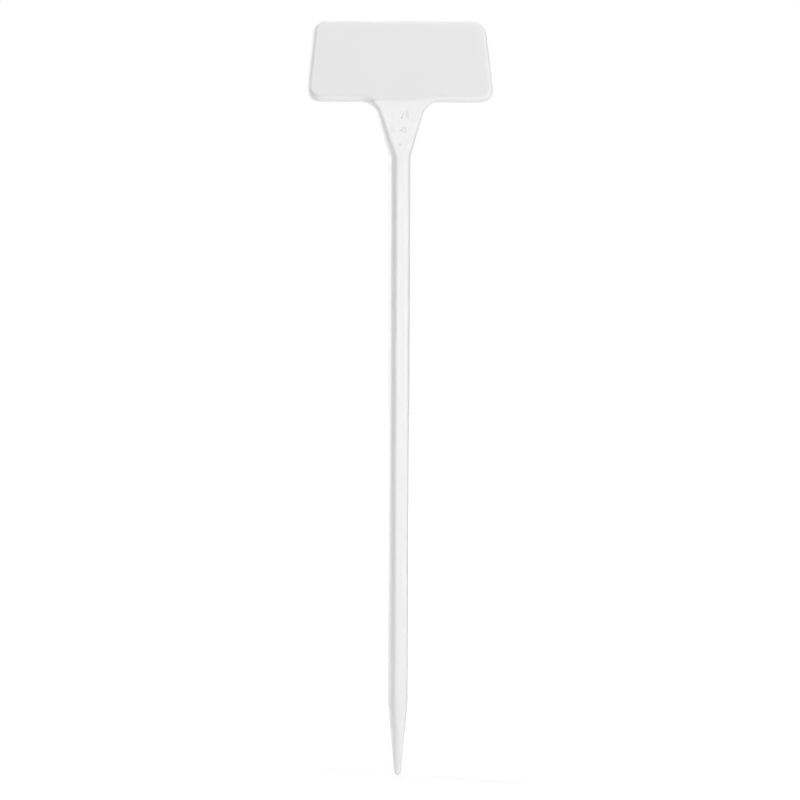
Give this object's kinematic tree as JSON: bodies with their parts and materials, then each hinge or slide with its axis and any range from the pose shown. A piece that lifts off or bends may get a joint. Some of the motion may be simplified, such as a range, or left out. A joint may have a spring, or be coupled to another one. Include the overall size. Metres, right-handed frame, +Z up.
{
  "type": "plant label stake",
  "caption": "Plant label stake in one plastic moulding: a writing plate that leans back on a flat triangular neck, over a half-round stem, hollow behind, with a solid point.",
  "frame": {"origin": "end of the point, on the middle plane of the stem; this end goes into the soil", "axes": "+Z up along the stem to the plate, -Y the way the front of the stem and plate faces (the plate leans back towards +Y), X across the plate, with X = 0 as the mirror plane"},
  "size_m": [0.0928, 0.0281, 0.3779],
  "materials": {
    "white_polypropylene": "satin"
  },
  "bodies": {
    "root": {"label_stake": "white_polypropylene"}
  },
  "joints": []
}
